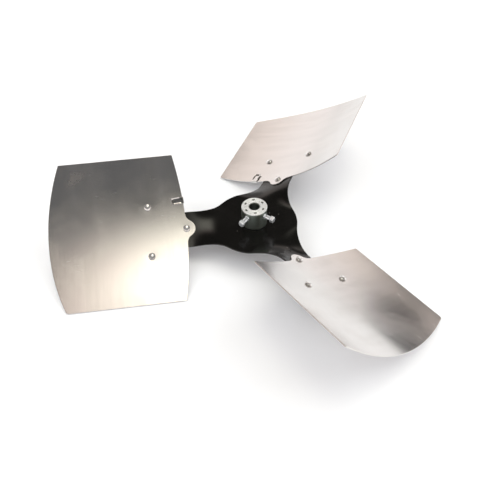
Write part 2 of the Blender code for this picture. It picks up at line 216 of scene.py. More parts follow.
def arm_grids():
    """One arm and its third of the middle, as grids that are open at the seams with the next arms.

    The arm is a grid of straight lines from its raised side to its low side. The middle is a grid of straight
    lines from the hole to the border, which is the disc's edge or the arm's first row.
    """
    low_edge, low_bearing = arm_edge(NECK_WIDTH / 2 + NECK_SHIFT)
    raised_edge, raised_bearing = arm_edge(NECK_WIDTH / 2 - NECK_SHIFT)
    seam = math.pi / ARM_COUNT
    low_disc = arc((0, 0), DISC_RADIUS, low_bearing, seam, DISC_EDGE_STEPS)
    raised_disc = arc((0, 0), DISC_RADIUS, -seam, -raised_bearing, DISC_EDGE_STEPS)
    across = np.linspace(0, 1, ARM_COLUMNS + 1)[None, :, None]

    def faces(depth, height):
        """The arm, the middle, the hole's edge and the outer edge, at a depth inwards and a height."""
        low = inset(low_edge, depth)[:, None]
        raised = (inset(raised_edge, depth) * (1, -1))[:, None]
        arm = raised + across * (low - raised)
        near = inset(raised_disc, depth)
        far = inset(low_disc, depth)
        border = np.concatenate([near[:-1], arm[0], far[1:]])
        bearings = np.arctan2(border[:, 1], border[:, 0])
        hole = HOLE_RADIUS * np.column_stack([np.cos(bearings), np.sin(bearings)])
        out = np.linspace(0, 1, DISC_RINGS + 1)[:, None, None]
        middle = hole + out * (border - hole)
        rim = np.concatenate([near[:-1], arm[:-1, 0], arm[-1], arm[-2::-1, -1], far[1:]])
        return [twisted(part, height) for part in (arm, middle, middle[0], rim)]

    depths, heights = rounded_edge(PLATE, PLATE_EDGE_RADIUS)
    layers = [faces(depth, height - PLATE) for depth, height in zip(depths, heights)]
    hole_wall = np.stack([layers[0][2], layers[-1][2]])
    rim = np.stack([layer[3] for layer in layers])
    return [layers[0][0], layers[0][1], layers[-1][0], layers[-1][1], hole_wall, rim]


def node(tree, kind, inputs=None, **settings):
    """A shader node with its settings, and its inputs given as values or as sockets to link."""
    made = tree.nodes.new("ShaderNode" + kind)
    for name, value in settings.items():
        setattr(made, name, value)
    for name, value in (inputs or {}).items():
        if isinstance(value, bpy.types.NodeSocket):
            tree.links.new(value, made.inputs[name])
        else:
            made.inputs[name].default_value = value
    return made


def graded(tree, value, low, high, to_low=0.0, to_high=1.0):
    """A value's range mapped to another on a smooth step."""
    made = node(tree, "MapRange", {"Value": value, "From Min": low, "From Max": high, "To Min": to_low,
                                   "To Max": to_high}, interpolation_type="SMOOTHSTEP")
    return made.outputs["Result"]


def overlap(tree, *masks):
    """The product of masks, which is 1 only where each of them is 1."""
    product = masks[0]
    for mask in masks[1:]:
        product = node(tree, "Math", {0: product, 1: mask}, operation="MULTIPLY").outputs[0]
    return product


def mixed(tree, share, low, high):
    """A colour between two, by a share. Each of the two is a colour or a socket."""
    ends = [end if isinstance(end, bpy.types.NodeSocket) else (*end, 1) for end in (low, high)]
    return node(tree, "Mix", {0: share, 6: ends[0], 7: ends[1]}, data_type="RGBA").outputs[2]


def noise(tree, place, scale, detail=2.0):
    """Noise from 0 to 1, whose coarsest lumps are one over the scale across."""
    return node(tree, "TexNoise", {"Vector": place, "Scale": scale, "Detail": detail}).outputs[0]


def embossed(tree, shader, height, strength, depth):
    """A fine relief in a finish: the height tilts the shader's normal."""
    bump = node(tree, "Bump", {"Height": height, "Strength": strength, "Distance": depth})
    tree.links.new(bump.outputs["Normal"], shader.inputs["Normal"])


def new_group(name, inputs, outputs):
    """A node group with value or vector inputs and value outputs, and its input and output nodes."""
    group = bpy.data.node_groups.new(name, "ShaderNodeTree")
    for label, kind in inputs:
        group.interface.new_socket(label, in_out="INPUT", socket_type="NodeSocket" + kind)
    for label in outputs:
        group.interface.new_socket(label, in_out="OUTPUT", socket_type="NodeSocketFloat")
    return group, group.nodes.new("NodeGroupInput").outputs, group.nodes.new("NodeGroupOutput").inputs


def handling_marks():
    """Marks of making and handling: soft smudges, hairline scratches and small specks, each a mask."""
    group, given, out = new_group("handling_marks", [("Vector", "Vector"), ("Smudge Size", "Float")],
                                  ["Smudges", "Scratches", "Specks"])
    wide = node(group, "Math", {0: 1.0, 1: given["Smudge Size"]}, operation="DIVIDE").outputs[0]
    cloud = node(group, "TexNoise", {"Vector": given["Vector"], "Scale": wide, "Detail": 3.0,
                                     "Roughness": 0.6, "Distortion": 0.5}).outputs[0]
    group.links.new(graded(group, cloud, 0.30, 0.72), out["Smudges"])

    hair = node(group, "Mapping", {"Vector": given["Vector"], "Rotation": (0, 0, 0.6),
                                   "Scale": (38, 700, 60)}).outputs[0]
    crossing = node(group, "Mapping", {"Vector": given["Vector"], "Rotation": (0, 0, -0.9),
                                       "Scale": (48, 820, 60)}).outputs[0]
    lines = node(group, "Math", {0: noise(group, hair, 1.0, 1.0), 1: noise(group, crossing, 1.0, 1.0)},
                 operation="MAXIMUM").outputs[0]
    group.links.new(graded(group, lines, 0.73, 0.80), out["Scratches"])

    cells = node(group, "TexVoronoi", {"Vector": given["Vector"], "Scale": 90.0})
    near = graded(group, cells.outputs["Distance"], 0.02, 0.10, 1.0, 0.0)
    pick = node(group, "SeparateColor", {"Color": cells.outputs["Color"]}).outputs[0]
    group.links.new(overlap(group, near, graded(group, pick, 0.86, 0.90)), out["Specks"])
    return group


def marks_on(tree, group, vector, smudge_size):
    """The handling marks' group placed in a material: its masks by name."""
    made = node(tree, "Group", node_tree=group)
    tree.links.new(vector, made.inputs["Vector"])
    made.inputs["Smudge Size"].default_value = smudge_size
    return made.outputs


def new_material(name, metallic=1.0):
    """A named material, with its node tree and its shader."""
    material = bpy.data.materials.new(name)
    material.use_nodes = True
    shader = material.node_tree.nodes["Principled BSDF"]
    shader.inputs["Metallic"].default_value = metallic
    return material, material.node_tree, shader


def black_enamel(marks):
    """Gloss enamel: nearly black, with an orange-peel skin, duller smudges and a few pale specks."""
    material, tree, shader = new_material("spider_black_enamel", metallic=0.0)
    place = node(tree, "TexCoord").outputs["Object"]
    masks = marks_on(tree, marks, place, 0.030)
    specked = mixed(tree, masks["Specks"], (0.0030, 0.0028, 0.0025), (0.10, 0.095, 0.09))
    tree.links.new(specked, shader.inputs["Base Color"])
    shader.inputs["Specular IOR Level"].default_value = 0.46
    tree.links.new(graded(tree, masks["Smudges"], 0, 1, 0.17, 0.22), shader.inputs["Roughness"])
    embossed(tree, shader, noise(tree, place, 420.0), 0.10, 0.00005)
    return material


handling = handling_marks()
spider_parts = []
for bearing in ARM_BEARINGS:
    spider_parts += [about_bore(grid, bearing) for grid in arm_grids()]
fitted(welded("pressed_spider", spider_parts), black_enamel(handling), "spider")

# The hub. A turned steel barrel on the spider, with a bore for the motor shaft and a spigot that is swaged
# over below the plate. Two tapped holes cross it for the set screws. Six punch marks ring its end face, and
# it is zinc plated.
hub_low, hub_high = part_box("hub")
HUB_RADIUS = hub_high.x
HUB_CHAMFER = 0.0005
BORE_RADIUS = 0.25 * INCH
BORE_CHAMFER = 0.0008
SPIGOT_RADIUS = 0.0110
SWAGE_RADIUS = 0.0135
DIMPLE_COUNT = 6
DIMPLE_RADIUS = 0.0015
DIMPLE_STRETCH = 1.6
DIMPLE_DEPTH = 0.0005
DIMPLE_CIRCLE_RADIUS = 0.0119
FIRST_DIMPLE_BEARING = math.radians(27)
SCREW_BEARINGS = (math.radians(-43), math.radians(-133))
SCREW_Z = hub_high.z - 0.0082
SCREW_HOLE_RADIUS = 0.125 * INCH + GAP
SCREW_HOLE_CHAMFER = 0.0004
WINDOW_HALF_ANGLE = math.radians(40)
WINDOW_HALF_HEIGHT = 0.005
WINDOW_LEVELS = 19
WINDOW_RINGS = 6
FACE_RINGS = 24
BARREL_STEPS = 7
TURN_STEP = math.radians(2)


def turn_bearings(start, end):
    """Bearings between two, a turning step apart."""
    return np.linspace(start, end, round((end - start) / TURN_STEP) + 1)


def turned(profile, start, end):
    """A profile of (radius, height) points turned about the bore between two bearings."""
    bearings = turn_bearings(start, end)[:, None]
    radius, height = np.asarray(profile, float).T
    return np.stack(np.broadcast_arrays(radius * np.cos(bearings), radius * np.sin(bearings), height), -1)


def window_border(radius):
    """Distances across and up from a screw's line, round the border of its window in a cylinder."""
    across = radius * np.sin(turn_bearings(-WINDOW_HALF_ANGLE, WINDOW_HALF_ANGLE))
    up = np.linspace(-WINDOW_HALF_HEIGHT, WINDOW_HALF_HEIGHT, WINDOW_LEVELS)
    low = np.column_stack([across, np.full_like(across, up[0])])
    right = np.column_stack([np.full_like(up, across[-1]), up])
    return np.concatenate([low[:-1], right[:-1], -low[:-1], -right[:-1], low[:1]])


def screw_hole():
    """The walls of a screw's hole and its windows in the barrel and the bore, in the screw's frame.

    In each cylinder, straight lines run from the hole's rim to the window's border, seen along the screw. The
    place along the screw is the root of the cylinder's radius squared less the distance across squared.
    """
    border = window_border(HUB_RADIUS)
    bearing_round = np.arctan2(border[:, 1], border[:, 0])
    ring = np.column_stack([np.cos(bearing_round), np.sin(bearing_round)])
    out = np.linspace(0, 1, WINDOW_RINGS + 1)[:, None, None]
    grids = []
    rims = []
    mouth = SCREW_HOLE_RADIUS + SCREW_HOLE_CHAMFER
    for radius, rim_radius in ((HUB_RADIUS, mouth), (BORE_RADIUS, SCREW_HOLE_RADIUS)):
        rim = rim_radius * ring
        flat = rim + out * (window_border(radius) - rim)
        along = np.sqrt(radius**2 - flat[..., 0] ** 2)
        grids.append(np.concatenate([along[..., None], flat], -1))
        rims.append(grids[-1][0])
    throat = np.column_stack([rims[0][:, 0] - SCREW_HOLE_CHAMFER, SCREW_HOLE_RADIUS * ring])
    grids.append(np.stack([rims[0], throat, rims[1]]))
    return grids


def hub_grids():
    """The hub's grids: turned above and below the screws' windows, with walls between them and the holes."""
    base = GAP
    foot = hub_low.z
    seat = -PLATE - GAP
    top = hub_high.z
    window_low = SCREW_Z - WINDOW_HALF_HEIGHT
    window_high = SCREW_Z + WINDOW_HALF_HEIGHT
    rings = np.linspace(BORE_RADIUS + BORE_CHAMFER, HUB_RADIUS - HUB_CHAMFER, FACE_RINGS + 1)
    face = [(radius, top) for radius in rings]
    upper = [(BORE_RADIUS, window_high), (BORE_RADIUS, top - BORE_CHAMFER), *face,
             (HUB_RADIUS, top - HUB_CHAMFER), (HUB_RADIUS, window_high)]
    down = np.linspace(window_low, base + HUB_CHAMFER, BARREL_STEPS + 1)
    barrel = [(HUB_RADIUS, height) for height in down]
    swage = [(SWAGE_RADIUS, seat), (SWAGE_RADIUS, seat - HUB_CHAMFER), (SWAGE_RADIUS - 2 * HUB_CHAMFER, foot)]
    lower = [*barrel, (HUB_RADIUS - HUB_CHAMFER, base), (SPIGOT_RADIUS, base), (SPIGOT_RADIUS, seat), *swage,
             (BORE_RADIUS + BORE_CHAMFER, foot), (BORE_RADIUS, foot + BORE_CHAMFER),
             (BORE_RADIUS, window_low)]
    start = SCREW_BEARINGS[0] - WINDOW_HALF_ANGLE
    end_face = turned(upper, start, start + 2 * math.pi)
    for i in range(DIMPLE_COUNT):
        angle = FIRST_DIMPLE_BEARING + i * 2 * math.pi / DIMPLE_COUNT
        outward = np.array([math.cos(angle), math.sin(angle)])
        offset = end_face[..., :2] - DIMPLE_CIRCLE_RADIUS * outward
        sideways = offset @ (-outward[1], outward[0])
        away = np.hypot(offset @ outward, sideways / DIMPLE_STRETCH) / DIMPLE_RADIUS
        hollow = np.where(end_face[..., 2] == top, np.clip(1 - away**2, 0, None), 0)
        end_face[..., 2] -= DIMPLE_DEPTH * hollow
    grids = [end_face, turned(lower, start, start + 2 * math.pi)]
    levels = np.linspace(window_low, window_high, WINDOW_LEVELS)
    last = SCREW_BEARINGS[1] + WINDOW_HALF_ANGLE
    behind = (SCREW_BEARINGS[0] + WINDOW_HALF_ANGLE, SCREW_BEARINGS[1] - WINDOW_HALF_ANGLE + 2 * math.pi)
    for radius in (HUB_RADIUS, BORE_RADIUS):
        wall = [(radius, height) for height in levels]
        grids += [turned(wall, last, start), turned(wall, *behind)]
    for angle in SCREW_BEARINGS:
        grids += [about_bore(grid + (0, 0, SCREW_Z), angle) for grid in screw_hole()]
    return grids


def off_axis(tree, place):
    """A place's distance from the bore's axis and its height."""
    parts = node(tree, "SeparateXYZ", {"Vector": place}).outputs
    flat = node(tree, "CombineXYZ", {"X": parts["X"], "Y": parts["Y"]}).outputs[0]
    return node(tree, "VectorMath", {0: flat}, operation="LENGTH").outputs["Value"], parts["Z"]


def plus(tree, base, amount, mask):
    """A value with an amount times a mask added to it."""
    return node(tree, "Math", {0: mask, 1: amount, 2: base}, operation="MULTIPLY_ADD").outputs[0]


def smudged_metal(name, marks, smudge_size, clean, smudged, roughness, metallic=1.0):
    """A metal whose colour and roughness change where it is smudged.

    The roughness is a pair, for clean and for smudged metal. The Object coordinates come back too.
    """
    material, tree, shader = new_material(name, metallic)
    place = node(tree, "TexCoord").outputs["Object"]
    smudges = marks_on(tree, marks, place, smudge_size)["Smudges"]
    tree.links.new(mixed(tree, smudges, clean, smudged), shader.inputs["Base Color"])
    tree.links.new(graded(tree, smudges, 0, 1, *roughness), shader.inputs["Roughness"])
    return material, tree, shader, place


def zinc_with_painted_light(marks):
    """The hub's zinc, one plate in lit and shaded copies: painted shade darkens the barrel and painted light
    whitens the end face, and painted shade darkens the punch marks and the bore.

    The masks come from the distance from the bore's axis and the height, which noise makes a little uneven.
    The lathe tool's rings are noise on the same two, and they draw the barrel's gloss out along it.
    """
    # The dark zinc colour here is the barrel's painted shade.
    material, tree, shader, place = smudged_metal("hub_zinc_plate", marks, 0.012, (0.33, 0.38, 0.34),
                                                  (0.27, 0.31, 0.28), (0.28, 0.33))
    away, up = off_axis(tree, place)
    uneven = noise(tree, place, 900.0)
    face = graded(tree, up, hub_high.z - 0.0010, hub_high.z - 0.0007)
    inside = graded(tree, away, HUB_RADIUS - 0.0015, HUB_RADIUS - 0.0009, 1.0, 0.0)
    depth = graded(tree, plus(tree, up, 0.0005, uneven), hub_high.z - 0.00005, hub_high.z + 0.00022, 1.0, 0.0)
    bore = graded(tree, away, BORE_RADIUS + 0.0002, BORE_RADIUS + 0.0007, 1.0, 0.0)

    colour = shader.inputs["Base Color"].links[0].from_socket
    # Painted light: the end face is whitened and made less metallic, a lit copy of the barrel's zinc.
    colour = mixed(tree, face, colour, (0.98, 1.0, 1.0))
    colour = mixed(tree, overlap(tree, face, graded(tree, uneven, 0.48, 0.66)), colour, (0.70, 0.73, 0.72))
    # Painted shade: the punch marks' hollows are darkened where the face dips.
    colour = mixed(tree, overlap(tree, depth, inside), colour, (0.12, 0.13, 0.12))
    # Painted shade: the bore's wall is darkened.
    colour = mixed(tree, bore, colour, (0.28, 0.31, 0.28))
    tree.links.new(colour, shader.inputs["Base Color"])

    satin = plus(tree, shader.inputs["Roughness"].links[0].from_socket, 0.24, face)
    tree.links.new(satin, shader.inputs["Roughness"])
    tree.links.new(graded(tree, face, 0, 1, 0.98, 0.66), shader.inputs["Metallic"])
    shader.inputs["Anisotropic"].default_value = 0.8
    shader.inputs["Anisotropic Rotation"].default_value = 0.25
    on_profile = node(tree, "CombineXYZ", {"X": away, "Y": up}).outputs[0]
    embossed(tree, shader, noise(tree, on_profile, 2500.0, 3.0), 0.02, 0.00004)
    return material


fitted(welded("turned_hub", hub_grids()), zinc_with_painted_light(handling), "hub")

# The set screws. Two square-head screws with a quarter-inch thread of twenty to the inch, which cross the
# hub's barrel and grip the shaft. Each has a plain neck outside the barrel, and bright zinc plate.
SCREW_RADIUS = 0.125 * INCH
THREAD_PITCH = INCH / 20
THREAD_DEPTH = 0.61 * THREAD_PITCH
THREAD_FLANK = 2.3
THREAD_CREST = 0.12
THREAD_STEPS = 12
SCREW_TIP_X = BORE_RADIUS + 0.0005
SCREW_NECK_X = 0.0165
SCREW_HEAD_X = 0.0240
SCREW_END_X = 0.0288
SCREW_TIP_RADIUS = SCREW_RADIUS - 1.2 * THREAD_DEPTH
SCREW_NECK_RADIUS = 0.0026
SCREW_NECK_ROWS = 6
SCREW_HEAD_HALF = 0.125 * INCH
SCREW_HEAD_CORNER = 1.34 * SCREW_HEAD_HALF
SCREW_HEAD_END = 1.02 * SCREW_HEAD_HALF
SCREW_HEAD_CONE = 1.9
SCREW_HEAD_ROWS = 25
SCREW_SIDES = 64
SCREW_SHARP_EDGE = math.radians(35)
SCREW_TURNS = (3, 14)


def screw_grid(turn):
    """A set screw along X: circles whose radius is a function of the bearing and the place along the screw.

    The thread's radius falls from its crest by the distance, in pitches, from a helix. The head's radius is a
    square's with eased corners, cut down by a cone at each end, and the head is turned by some of the sides.
    """
    shank = np.arange(SCREW_TIP_X, SCREW_NECK_X, THREAD_PITCH / THREAD_STEPS)
    place = np.concatenate([
        [SCREW_TIP_X + THREAD_DEPTH, SCREW_TIP_X],
        shank,
        np.linspace(SCREW_NECK_X, SCREW_HEAD_X, SCREW_NECK_ROWS),
        np.linspace(SCREW_HEAD_X, SCREW_END_X, SCREW_HEAD_ROWS),
        [SCREW_END_X],
    ])[:, None]
    angle = np.linspace(0, 2 * math.pi, SCREW_SIDES + 1)[None, :]
    turns = place / THREAD_PITCH - angle / (2 * math.pi)
    groove = np.clip(THREAD_FLANK * np.abs(turns - np.round(turns)) - THREAD_CREST, 0, 1)
    thread = SCREW_RADIUS - THREAD_DEPTH * groove
    lead = SCREW_RADIUS - THREAD_DEPTH + np.minimum(place - SCREW_TIP_X, SCREW_NECK_X - place)
    threaded = np.minimum(thread, np.maximum(lead, SCREW_TIP_RADIUS))

    head_angle = angle - turn * 2 * math.pi / SCREW_SIDES
    square = SCREW_HEAD_HALF / np.maximum(np.abs(np.cos(head_angle)), np.abs(np.sin(head_angle)))
    from_end = np.minimum(place - SCREW_HEAD_X, SCREW_END_X - place)
    head = np.minimum(np.minimum(square, SCREW_HEAD_CORNER), SCREW_HEAD_END + SCREW_HEAD_CONE * from_end)
    row = np.arange(len(place))[:, None]
    neck_row = 2 + len(shank)
    head_row = neck_row + SCREW_NECK_ROWS
    radius = np.where(row < neck_row, threaded, np.where(row < head_row, SCREW_NECK_RADIUS, head))
    radius[0] = 0
    radius[1] = SCREW_TIP_RADIUS
    radius[-1] = 0
    return np.stack(np.broadcast_arrays(place, radius * np.cos(angle), radius * np.sin(angle)), -1)


def bright_zinc(marks):
    """The screws' zinc: fresh, smooth and faintly blue."""
    return smudged_metal("screw_zinc_plate", marks, 0.012, (0.91, 0.95, 0.99), (0.87, 0.91, 0.95),
                         (0.06, 0.11), 0.70)[0]


screw_zinc = bright_zinc(handling)
for i, (angle, turn) in enumerate(zip(SCREW_BEARINGS, SCREW_TURNS), 1):
    screw_mesh = welded(f"square_head_screw_{i}", [about_bore(screw_grid(turn) + (0, 0, SCREW_Z), angle)])
    screw_mesh.set_sharp_from_angle(angle=SCREW_SHARP_EDGE)
    fitted(screw_mesh, screw_zinc, f"set_screw_{i}")

# The blades. Three sheets of 0.050 in aluminium in its mill finish, sheared with parallel sides, a curved tip
# and a curved root that has a round tab in its middle, and then rolled to a cylinder. The rivets pull the
# sheet down a little around them.
TIP_RADIUS = 10 * INCH
SHEET = 0.050 * INCH
SHEET_EDGE_RADIUS = 0.00018
BLADE_WIDTH = 7.5 * INCH
TIP_EDGE_RADIUS = 0.245
ROOT_EDGE_RADIUS = 0.500
ROOT_EDGE_X = 0.085
RAISED_CORNER_RADIUS = 0.0015
LOW_TIP_CORNER_RADIUS = 0.004
TAB_RADIUS = 0.0108
TAB_FILLET_RADIUS = 0.012
CORNER_STEPS = 6
ROOT_EDGE_STEPS = 44
TAB_STEPS = 10
BLADE_ROWS = 90
RIVET_PLACES = {"tab": (0.0851, 0.0), "raised": (0.1308, -0.032), "low": (0.1308, 0.032)}
RIVET_PULL = 0.00012
RIVET_PULL_RADIUS = 0.006
GRAIN_SHIFT = 0.37
STAIN_PLACE = (0.222, -0.077)
STAIN_HALF_SIZE = 0.030


def edge_corner(centre_x, edge_radius, towards, radius):
    """Centre of the arc that rounds a corner between a side and an edge, and its bearing off the arm."""
    y = BLADE_WIDTH / 2 - radius
    reach = edge_radius - radius
    return (centre_x + towards * math.sqrt(reach**2 - y**2), y), math.asin(y / reach)


def root_half():
    """The root's outline from a corner to the tip of the tab: corner, edge, fillet and half of the tab."""
    centre = (ROOT_EDGE_X + ROOT_EDGE_RADIUS, 0)
    corner, lean = edge_corner(centre[0], ROOT_EDGE_RADIUS, -1, RAISED_CORNER_RADIUS)
    tab_x = RIVET_PLACES["tab"][0]
    apart = centre[0] - tab_x
    from_tab = TAB_RADIUS + TAB_FILLET_RADIUS
    from_root = ROOT_EDGE_RADIUS + TAB_FILLET_RADIUS
    offset = (apart**2 + from_tab**2 - from_root**2) / (2 * apart)
    fillet = (tab_x + offset, math.sqrt(from_tab**2 - offset**2))
    to_root = math.atan2(-fillet[1], centre[0] - fillet[0])
    to_tab = math.atan2(-fillet[1], tab_x - fillet[0])
    return np.concatenate([
        arc(corner, RAISED_CORNER_RADIUS, math.pi / 2, math.pi - lean, CORNER_STEPS),
        arc(centre, ROOT_EDGE_RADIUS, math.pi - lean, math.pi + to_root, ROOT_EDGE_STEPS)[1:],
        arc(fillet, TAB_FILLET_RADIUS, to_root, to_tab, TAB_STEPS, side=-1)[1:],
        arc((tab_x, 0), TAB_RADIUS, to_tab + math.pi, math.pi, TAB_STEPS)[1:],
    ])


def tip_half(corner_radius):
    """The tip's outline from a corner to its middle, with a point nearly level with each of the root's."""
    centre_x = TIP_RADIUS - TIP_EDGE_RADIUS
    corner, lean = edge_corner(centre_x, TIP_EDGE_RADIUS, 1, corner_radius)
    level = inset(root_half(), 0)[CORNER_STEPS:, 1]
    edge = arc((centre_x, 0), TIP_EDGE_RADIUS, 0, 0, len(level) - 1)
    edge[:, 3] = np.arcsin(math.sin(lean) * level / level[0])
    return np.concatenate([arc(corner, corner_radius, math.pi / 2, lean, CORNER_STEPS), edge[1:]])


def border(grid):
    """The points round a grid, from its first corner and back to it."""
    return np.concatenate([grid[:-1, 0], grid[-1, :-1], grid[:0:-1, -1], grid[0, ::-1]])


def blade_grids(bearing, shift):
    """A blade's top, underside and rim, with its flat places for the grain.

    A flat place is a share of the way from a point of the root's outline to its partner on the tip's. The
    rolled sheet stands above the spider's face by the gap, and dips round each rivet as a bell curve.
    """
    root = np.concatenate([root_half(), mirrored(root_half())[1:]])
    tip = np.concatenate([tip_half(LOW_TIP_CORNER_RADIUS), mirrored(tip_half(RAISED_CORNER_RADIUS))[1:]])
    out = np.linspace(0, 1, BLADE_ROWS + 1)[None, :, None]
    layers = []
    flats = []
    for depth, height in zip(*rounded_edge(SHEET, SHEET_EDGE_RADIUS)):
        near = inset(root, depth)[:, None]
        far = inset(tip, depth)[:, None]
        flat = near + out * (far - near)
        dip = 0
        for place in RIVET_PLACES.values():
            away = np.linalg.norm(flat - place, axis=-1) / RIVET_PULL_RADIUS
            dip = dip + RIVET_PULL * np.exp(-away**2)
        layers.append(about_bore(rolled(flat[..., 0], flat[..., 1], GAP + height - dip), bearing))
        flats.append(flat + shift)

    rim = np.stack([border(layer) for layer in layers])
    flat_rim = np.stack([border(flat) for flat in flats])
    return [layers[0], layers[-1], rim], [flats[0], flats[-1], flat_rim]


def mill_grain():
    """The fine streaks of rolled sheet, which run across the blade: noise stretched along them."""
    group, given, out = new_group("mill_grain", [("Vector", "Vector")], ["Streaks", "Clouds"])
    fine = node(group, "Mapping", {"Vector": given["Vector"], "Scale": (420, 9, 1)}).outputs[0]
    group.links.new(noise(group, fine, 1.0), out["Streaks"])
    wide = node(group, "Mapping", {"Vector": given["Vector"], "Scale": (60, 8, 1)}).outputs[0]
    clouds = node(group, "TexNoise", {"Vector": wide, "Scale": 1.0, "Detail": 5.0, "Roughness": 0.6})
    group.links.new(clouds.outputs[0], out["Clouds"])
    return group


def first_blade_stain(tree, place):
    """A stain on the first blade: 1 near one place of the sheet and 0 away from it, broken up by noise."""
    middle = (*(part + GRAIN_SHIFT for part in STAIN_PLACE), 0.0)
    offset = node(tree, "VectorMath", {0: place, 1: middle}, operation="SUBTRACT").outputs[0]
    away = node(tree, "VectorMath", {0: offset}, operation="LENGTH").outputs["Value"]
    near = graded(tree, away, 0.0, STAIN_HALF_SIZE, 1.0, 0.0)
    return overlap(tree, near, graded(tree, noise(tree, place, 60.0, 3.0), 0.40, 0.78))


def mill_aluminium(marks):
    """Mill-finish aluminium sheet: pale and faintly warm, with streaks, smudges, hairlines and nicks."""
    material, tree, shader = new_material("blade_mill_aluminium")
    place = node(tree, "UVMap", uv_map="flat").outputs[0]
    grain = node(tree, "Group", node_tree=mill_grain())
    tree.links.new(place, grain.inputs["Vector"])
    masks = marks_on(tree, marks, place, 0.060)
    stain = first_blade_stain(tree, place)
    clouds = graded(tree, grain.outputs["Clouds"], 0.30, 0.70)
    colour = mixed(tree, clouds, (0.735, 0.71, 0.69), (0.81, 0.785, 0.77))
    colour = mixed(tree, masks["Smudges"], (0.75, 0.73, 0.715), colour)
    colour = mixed(tree, stain, colour, (0.80, 0.735, 0.70))
    colour = mixed(tree, masks["Specks"], colour, (0.93, 0.92, 0.90))
    tree.links.new(colour, shader.inputs["Base Color"])

    rough = graded(tree, masks["Smudges"], 0, 1, 0.175, 0.24)
    rough = plus(tree, rough, 0.045, grain.outputs["Streaks"])
    rough = plus(tree, rough, 0.05, masks["Scratches"])
    rough = plus(tree, rough, 0.08, stain)
    tree.links.new(rough, shader.inputs["Roughness"])
    embossed(tree, shader, plus(tree, grain.outputs["Streaks"], -0.3, masks["Scratches"]), 0.22, 0.00003)
    return material


aluminium = mill_aluminium(handling)
for i, bearing in enumerate(ARM_BEARINGS, 1):
    grids, flats = blade_grids(bearing, i * GRAIN_SHIFT)
    fitted(welded(f"rolled_blade_{i}", grids, flats), aluminium, f"blade_{i}")

# The rivets. Nine round-head steel rivets, three to a blade. Each dome lies on the blade, and the tail is
# upset against the underside of the spider's arm.
RIVET_RADIUS = 3 / 32 * INCH
RIVET_HEAD_RADIUS = 0.00425
RIVET_HEAD_HEIGHT = 0.0026
RIVET_LIP = 0.0013
RIVET_TAIL_RADIUS = 0.0038
RIVET_TAIL_HEIGHT = 0.0018
RIVET_DOME_POINTS = 14
RIVET_TAIL_POINTS = 8
RIVET_SIDES = 48
RIVET_SHARP_EDGE = math.radians(40)


def rivet_grid(x, y, bearing):
    """A rivet turned about the sheet's normal at a place on the blade.

    The dome is a circle's arc from the axis down to its lip, and the tail an arc of an ellipse.
    """
    top = 2 * GAP + SHEET - RIVET_PULL
    bottom = -PLATE - GAP
    rise = RIVET_HEAD_HEIGHT - RIVET_LIP
    dome = (RIVET_HEAD_RADIUS**2 + rise**2) / (2 * rise)
    centre = top + RIVET_HEAD_HEIGHT - dome
    swing = np.linspace(0, math.asin(RIVET_HEAD_RADIUS / dome), RIVET_DOME_POINTS)
    bulge = np.linspace(0, math.pi / 2, RIVET_TAIL_POINTS)
    radius = np.concatenate([dome * np.sin(swing), [RIVET_HEAD_RADIUS, RIVET_RADIUS, RIVET_RADIUS],
                             RIVET_TAIL_RADIUS * np.cos(bulge)])
    height = np.concatenate([centre + dome * np.cos(swing), [top, top, bottom],
                             bottom - RIVET_TAIL_HEIGHT * np.sin(bulge)])
    radius[0] = 0
    radius[-1] = 0
    angle = np.linspace(0, 2 * math.pi, RIVET_SIDES + 1)[:, None]
    slope = y / ROLL_RADIUS - PITCH
    across = radius * np.sin(angle)
    foot = rolled(x, y, 0.0)
    places = np.stack([
        foot[0] + radius * np.cos(angle),
        foot[1] + across * math.cos(slope) - height * math.sin(slope),
        foot[2] + across * math.sin(slope) + height * math.cos(slope),
    ], -1)
    return about_bore(places, bearing)


def rivet_steel(marks):
    """Plated rivet steel, a little dulled and dented by the setting tool."""
    material, tree, shader, place = smudged_metal("rivet_bright_steel", marks, 0.003, (0.93, 0.92, 0.91),
                                                  (0.76, 0.75, 0.74), (0.14, 0.21), 0.8)
    embossed(tree, shader, noise(tree, place, 700.0), 0.1, 0.00006)
    return material


bright_steel = rivet_steel(handling)
for i, bearing in enumerate(ARM_BEARINGS, 1):
    for name, (x, y) in RIVET_PLACES.items():
        rivet_mesh = welded(f"round_head_rivet_{i}_{name}", [rivet_grid(x, y, bearing)])
        rivet_mesh.set_sharp_from_angle(angle=RIVET_SHARP_EDGE)
        fitted(rivet_mesh, bright_steel, f"rivet_{i}_{name}")

# The balance clips. Two spring clips, each a strip of bright tempered steel folded to a U and pushed over a
# blade's root edge to balance the wheel. The ends of the legs flare so that they ride over the sheet, and
# the long sides are turned up a little.
CLIP_PLACES = ((1, -0.0368), (2, 0.0375))
CLIP_WIDTH = 0.0085
CLIP_LEG = 0.0142
CLIP_WALL = 0.0008
CLIP_EDGE_RADIUS = 0.0002
CLIP_LIP = 0.0022
CLIP_FLARE = math.radians(30)
CLIP_FLARE_RADIUS = 0.0012
CLIP_SIDE_RISE = 0.0009
CLIP_SIDE_WIDTH = 0.0022
CLIP_STEPS = 400
CLIP_COLUMNS = 20
CLIP_KNOTS = ((0, 0.16, 14), (0.17, 0.84, 12), (0.85, 1, 14))


